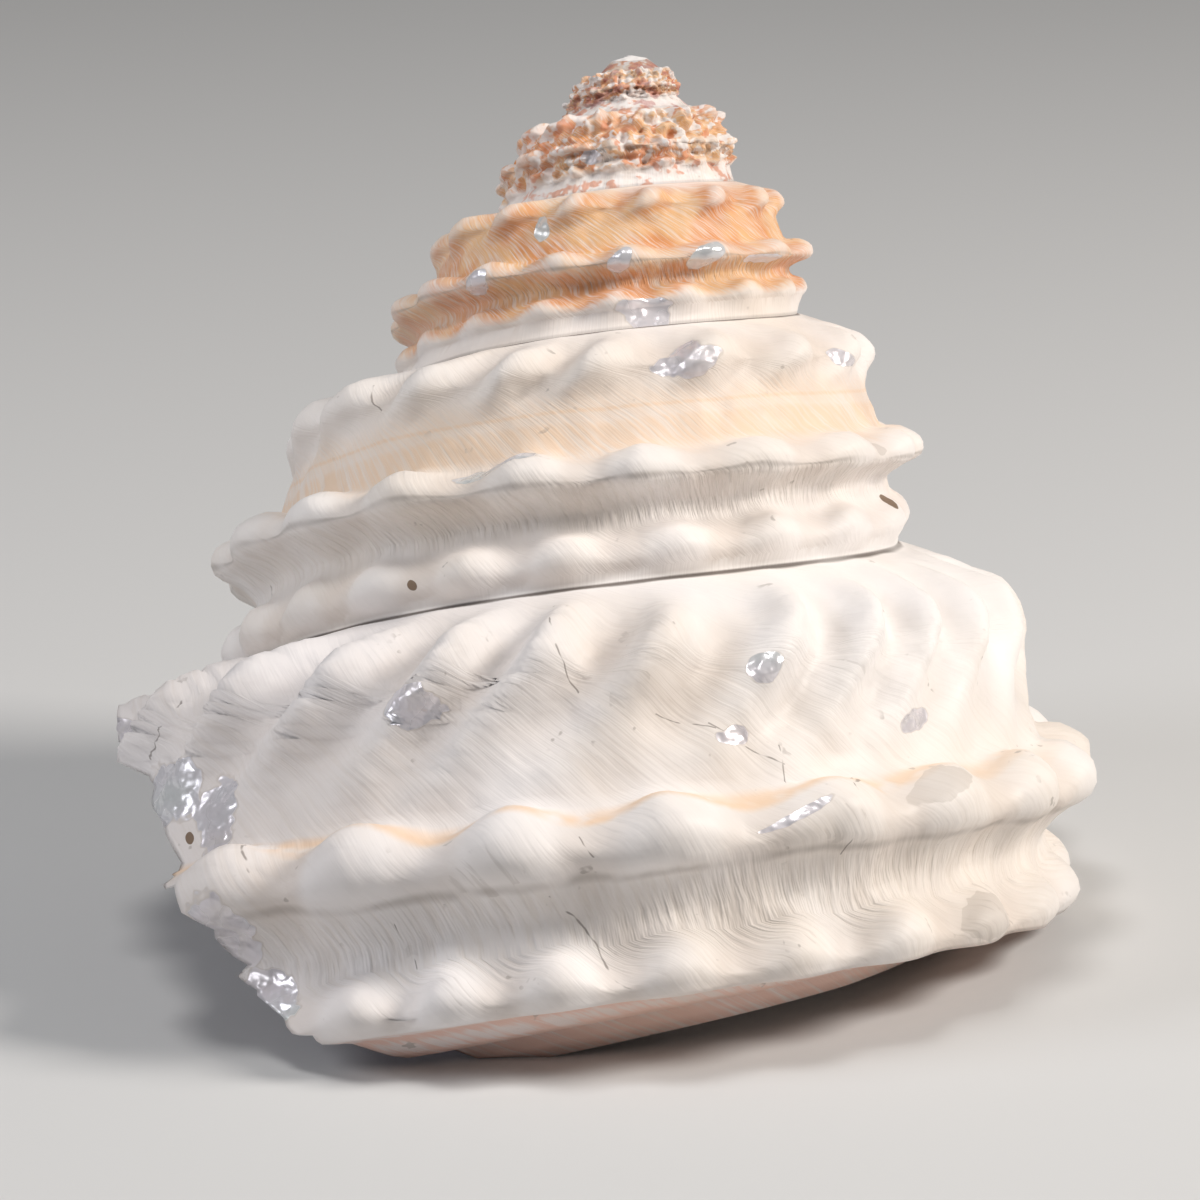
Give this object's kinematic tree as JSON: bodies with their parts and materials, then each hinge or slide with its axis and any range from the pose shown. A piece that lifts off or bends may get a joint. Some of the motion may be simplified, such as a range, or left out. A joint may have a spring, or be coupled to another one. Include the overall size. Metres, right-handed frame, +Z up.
{
  "type": "wavy turban shell",
  "caption": "Empty conical sea snail shell, spirally coiled, with wavy folds and nodular keels, a chipped chalky crust and a wide broken aperture at the base.",
  "frame": {"origin": "bottom centre of the bounding box, on the plane it rests on", "axes": "+Z up, -Y towards the viewer of the picture, +X to the viewer's right. The shell's own axis leans back from the viewer, and its aperture opens to -X and down."},
  "size_m": [0.0954, 0.1038, 0.0794],
  "materials": {
    "shell": "chalky calcium carbonate with orange and lilac growth bands, worn patches of grey nacre"
  },
  "bodies": {
    "root": {"shell": "shell"}
  },
  "joints": []
}
